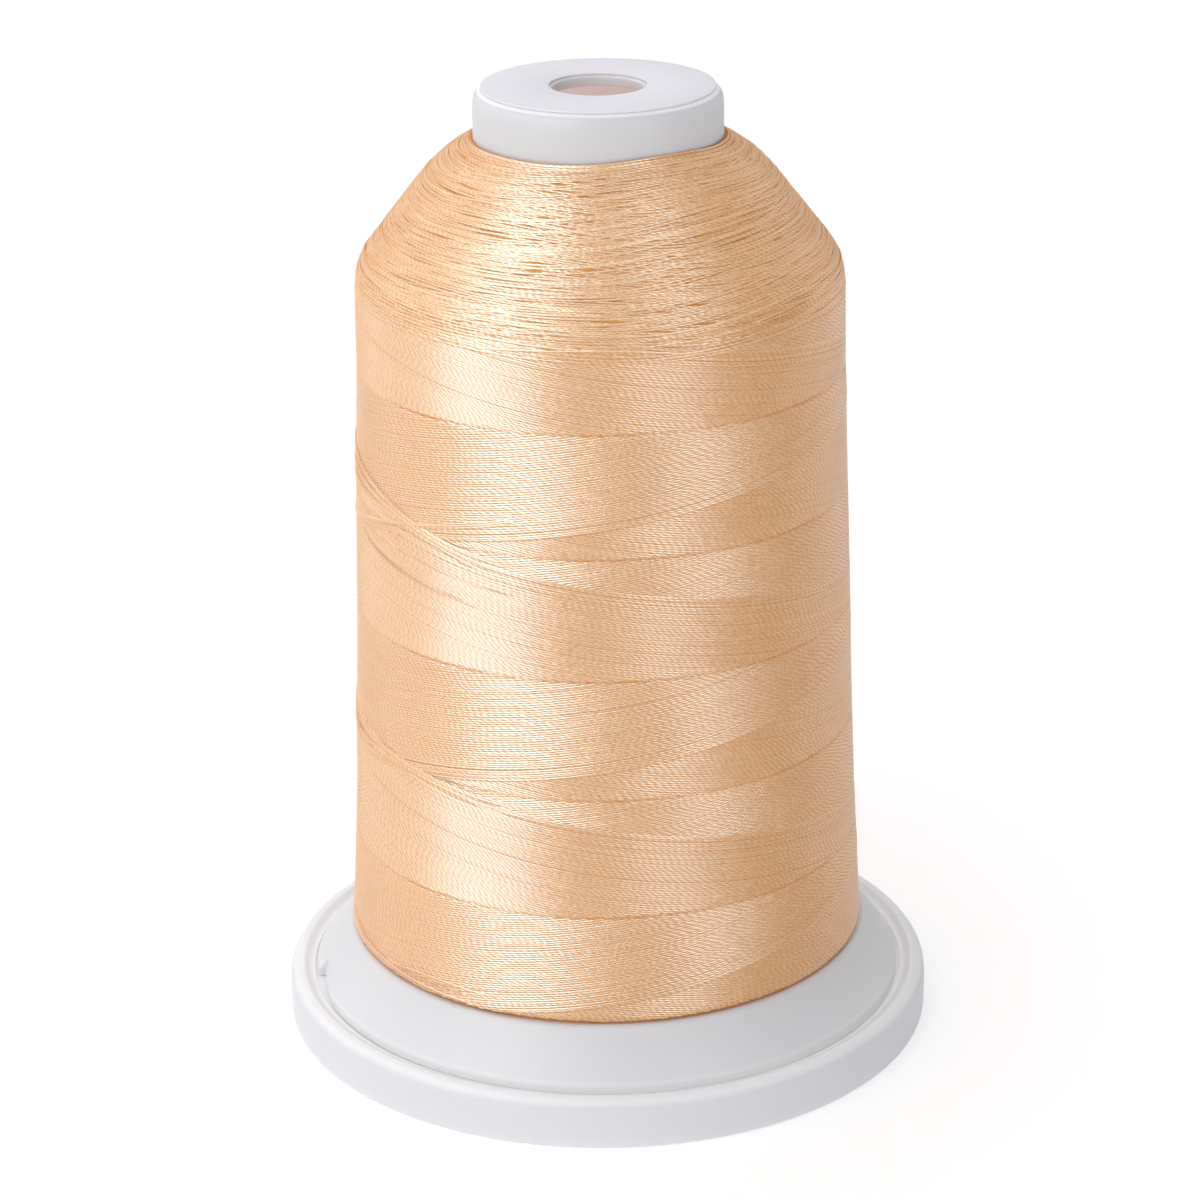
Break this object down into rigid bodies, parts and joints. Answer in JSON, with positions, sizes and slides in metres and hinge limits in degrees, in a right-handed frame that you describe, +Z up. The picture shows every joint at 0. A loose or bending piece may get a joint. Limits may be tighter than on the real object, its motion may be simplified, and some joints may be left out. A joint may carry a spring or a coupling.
{
  "type": "cone of thread",
  "caption": "Cone of peach sewing thread, cross-wound with a sloping shoulder on a hollow white plastic spool whose wide flange sits in a ring-shaped base.",
  "frame": {"origin": "on the axis of the cone, at the height of the surface that the base stands on", "axes": "+Z up along the cone's axis, from its base to its cap; -Y is the side that the picture is taken from"},
  "size_m": [0.08, 0.08, 0.1177],
  "materials": {
    "thread": "satin filament thread, two-ply, wound in close turns, pale peach",
    "plastic": "satin moulded white plastic, slightly translucent",
    "label_paper": "smooth coated paper, pale lilac white"
  },
  "bodies": {
    "root": {"thread_pack": "thread", "spool": "plastic", "snap_base": "plastic", "label": "label_paper"}
  },
  "joints": []
}
